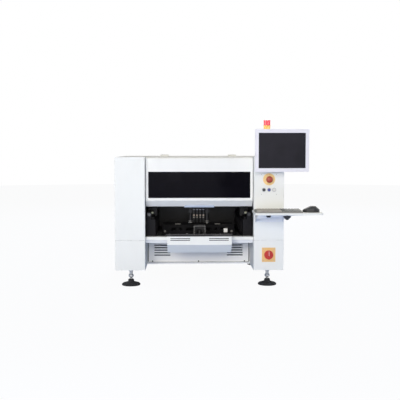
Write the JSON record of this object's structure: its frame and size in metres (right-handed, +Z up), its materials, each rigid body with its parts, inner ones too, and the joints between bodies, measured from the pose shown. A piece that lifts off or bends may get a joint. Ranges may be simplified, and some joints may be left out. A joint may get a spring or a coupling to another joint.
{
  "type": "desktop pick and place machine",
  "caption": "Bench-top pick and place machine with a lifting windowed hood, gantry head with nozzles, feeder dock, operator column, monitor arm, keyboard tray and levelling feet.",
  "frame": {"origin": "middle of the outer box of the whole part, keyboard tray and rear fitting included, at floor level", "axes": "+X to the operator's right, along the tray; +Y from the front to the rear; +Z up. The front faces -Y"},
  "size_m": [1.335, 1.284, 1.111],
  "materials": {
    "cover_paint": "smooth off-white powder coat",
    "panel_paint": "light grey powder coat",
    "frame_paint": "dark grey paint on welded tube",
    "bed_metal": "dark anodised plate",
    "black_cast": "black machined casting",
    "black_metal": "black anodised",
    "steel": "ground steel",
    "bright_steel": "polished screw steel",
    "rail_metal": "natural anodised",
    "brass": "turned brass",
    "foot_rubber": "black moulded pad",
    "black_plastic": "fine grained moulding",
    "yellow_plastic": "satin yellow moulding",
    "red_plastic": "gloss red moulding",
    "blue_plastic": "gloss blue cap",
    "white_plastic": "white moulding",
    "monitor_plastic": "pale grey moulding",
    "screen_glass": "dark anti-glare panel",
    "window_tint": "smoked polycarbonate",
    "key_plastic": "grey key caps",
    "case_plastic": "warm grey case",
    "lens_plastic": "ribbed translucent lens",
    "unit_case": "plain equipment case"
  },
  "bodies": {
    "machine": {"base_frame": "frame_paint", "machine_bed": "bed_metal", "left_upper_cover": "cover_paint", "left_lower_cover": "cover_paint", "right_upper_cover": "cover_paint", "right_lower_cover": "cover_paint", "top_cover": "cover_paint", "rear_cover": "cover_paint", "lower_front_panel": "panel_paint", "dock_sill": "cover_paint", "dock_box": "cover_paint", "dock_rail": "rail_metal", "foot_pads": "foot_rubber", "foot_studs": "steel", "cabinet_units": "unit_case", "y_beams": "black_cast", "front_board_rail": "rail_metal", "vision_camera": "black_metal", "reject_box": "white_plastic", "hood_hinge_bases": "steel", "panel_bezels": "yellow_plastic", "isolator_plate": "yellow_plastic", "monitor_post": "steel", "tray_bracket": "panel_paint", "tower_pole": "black_plastic", "tower_lenses": "lens_plastic", "rear_inlets": "black_plastic"},
    "hood": {"hood_shell": "cover_paint", "hood_window": "window_tint"},
    "gantry": {"x_beam": "black_metal"},
    "y_screw_left": {"y_screw_left": "bright_steel"},
    "y_screw_right": {"y_screw_right": "bright_steel"},
    "x_screw": {"x_screw": "bright_steel"},
    "head": {"head_carriage": "black_metal", "head_housing": "black_metal"},
    "board_rail": {"rear_board_rail": "rail_metal"},
    "estop_cap": {"estop_cap": "red_plastic"},
    "black_button": {"black_button": "black_plastic"},
    "blue_button": {"blue_button": "blue_plastic"},
    "white_button": {"white_button": "white_plastic"},
    "isolator_knob": {"isolator_knob": "red_plastic"},
    "monitor_arm": {"monitor_link": "steel"},
    "monitor": {"monitor_shell": "monitor_plastic", "monitor_screen": "screen_glass"},
    "tray": {"tray": "cover_paint", "keyboard_case": "case_plastic", "keyboard_keys": "key_plastic", "mouse_body": "black_plastic"},
    "tray_knob_left": {"tray_knob_left": "black_plastic"},
    "tray_knob_right": {"tray_knob_right": "black_plastic"},
    "mouse_top": {"mouse_top": "black_plastic"},
    "mouse_wheel": {"mouse_wheel": "key_plastic"},
    "spindle_1": {"spindle_1": "steel"},
    "nozzle_1": {"nozzle_1": "brass"},
    "spindle_2": {"spindle_2": "steel"},
    "nozzle_2": {"nozzle_2": "brass"},
    "spindle_3": {"spindle_3": "steel"},
    "nozzle_3": {"nozzle_3": "brass"},
    "spindle_4": {"spindle_4": "steel"},
    "nozzle_4": {"nozzle_4": "brass"}
  },
  "joints": [
    {"name": "hood_hinge", "type": "hinge", "parent": "machine", "child": "hood", "pos_m": [-0.1075, 0.022, 0.8693], "axis": [-1, 0, 0], "range_deg": [0, 70]},
    {"name": "gantry_slide", "type": "slide", "parent": "machine", "child": "gantry", "axis": [0, 1, 0], "range_m": [-0.12, 0.35]},
    {"name": "head_slide", "type": "slide", "parent": "gantry", "child": "head", "axis": [1, 0, 0], "range_m": [-0.21, 0.21]},
    {"name": "y_screw_left_turn", "type": "hinge", "parent": "machine", "child": "y_screw_left", "pos_m": [-0.4455, 0.02, 0.474], "axis": [0, 1, 0], "range_deg": [-2161, 6301]},
    {"name": "y_screw_right_turn", "type": "hinge", "parent": "machine", "child": "y_screw_right", "pos_m": [0.2305, 0.02, 0.474], "axis": [0, 1, 0], "range_deg": [-2161, 6301]},
    {"name": "x_screw_turn", "type": "hinge", "parent": "gantry", "child": "x_screw", "pos_m": [-0.1075, -0.072, 0.544], "axis": [1, 0, 0], "range_deg": [-3781, 3781]},
    {"name": "board_rail_slide", "type": "slide", "parent": "machine", "child": "board_rail", "axis": [0, 1, 0], "range_m": [-0.14, 0.06]},
    {"name": "estop_press", "type": "slide", "parent": "machine", "child": "estop_cap", "axis": [0, 1, 0], "range_m": [0, 0.006], "stiffness_N_per_m": 600},
    {"name": "isolator_turn", "type": "hinge", "parent": "machine", "child": "isolator_knob", "pos_m": [0.3525, -0.39, 0.213], "axis": [0, 1, 0], "range_deg": [0, 90]},
    {"name": "monitor_swivel", "type": "hinge", "parent": "machine", "child": "monitor_arm", "pos_m": [0.4245, -0.392, 0.905], "axis": [0, 0, 1], "range_deg": [-15, 20]},
    {"name": "monitor_tilt", "type": "hinge", "parent": "monitor_arm", "child": "monitor", "pos_m": [0.4245, -0.416, 0.905], "axis": [-1, 0, 0], "range_deg": [-5, 20]},
    {"name": "tray_slide", "type": "slide", "parent": "machine", "child": "tray", "axis": [1, 0, 0], "range_m": [-0.035, 0.035]},
    {"name": "tray_knob_left_turn", "type": "hinge", "parent": "tray", "child": "tray_knob_left", "pos_m": [0.3265, -0.585, 0.483], "axis": [0, 0, 1], "range_deg": [0, 360]},
    {"name": "tray_knob_right_turn", "type": "hinge", "parent": "tray", "child": "tray_knob_right", "pos_m": [0.4445, -0.585, 0.483], "axis": [0, 0, 1], "range_deg": [0, 360]},
    {"name": "mouse_click", "type": "hinge", "parent": "tray", "child": "mouse_top", "pos_m": [0.5945, -0.551, 0.525], "axis": [0, -1, 0], "range_deg": [0, 1.2], "stiffness_Nm_per_rad": 4},
    {"name": "mouse_wheel_turn", "type": "hinge", "parent": "tray", "child": "mouse_wheel", "pos_m": [0.5705, -0.551, 0.527], "axis": [0, 1, 0], "continuous": true},
    {"name": "black_button_press", "type": "slide", "parent": "machine", "child": "black_button", "axis": [0, 1, 0], "range_m": [0, 0.003], "stiffness_N_per_m": 400},
    {"name": "blue_button_press", "type": "slide", "parent": "machine", "child": "blue_button", "axis": [0, 1, 0], "range_m": [0, 0.003], "stiffness_N_per_m": 400},
    {"name": "white_button_press", "type": "slide", "parent": "machine", "child": "white_button", "axis": [0, 1, 0], "range_m": [0, 0.003], "stiffness_N_per_m": 400},
    {"name": "spindle_1_slide", "type": "slide", "parent": "head", "child": "spindle_1", "axis": [0, 0, -1], "range_m": [0, 0.025]},
    {"name": "nozzle_1_turn", "type": "hinge", "parent": "spindle_1", "child": "nozzle_1", "pos_m": [-0.1405, -0.118, 0.398], "axis": [0, 0, 1], "continuous": true},
    {"name": "spindle_2_slide", "type": "slide", "parent": "head", "child": "spindle_2", "axis": [0, 0, -1], "range_m": [0, 0.025]},
    {"name": "nozzle_2_turn", "type": "hinge", "parent": "spindle_2", "child": "nozzle_2", "pos_m": [-0.1185, -0.118, 0.398], "axis": [0, 0, 1], "continuous": true},
    {"name": "spindle_3_slide", "type": "slide", "parent": "head", "child": "spindle_3", "axis": [0, 0, -1], "range_m": [0, 0.025]},
    {"name": "nozzle_3_turn", "type": "hinge", "parent": "spindle_3", "child": "nozzle_3", "pos_m": [-0.0965, -0.118, 0.398], "axis": [0, 0, 1], "continuous": true},
    {"name": "spindle_4_slide", "type": "slide", "parent": "head", "child": "spindle_4", "axis": [0, 0, -1], "range_m": [0, 0.025]},
    {"name": "nozzle_4_turn", "type": "hinge", "parent": "spindle_4", "child": "nozzle_4", "pos_m": [-0.0745, -0.118, 0.398], "axis": [0, 0, 1], "continuous": true}
  ],
  "couplings": [
    {"joint": "y_screw_left_turn", "follows": "gantry_slide", "rad_per_m": 314.16},
    {"joint": "y_screw_right_turn", "follows": "gantry_slide", "rad_per_m": 314.16},
    {"joint": "x_screw_turn", "follows": "head_slide", "rad_per_m": 314.16}
  ]
}
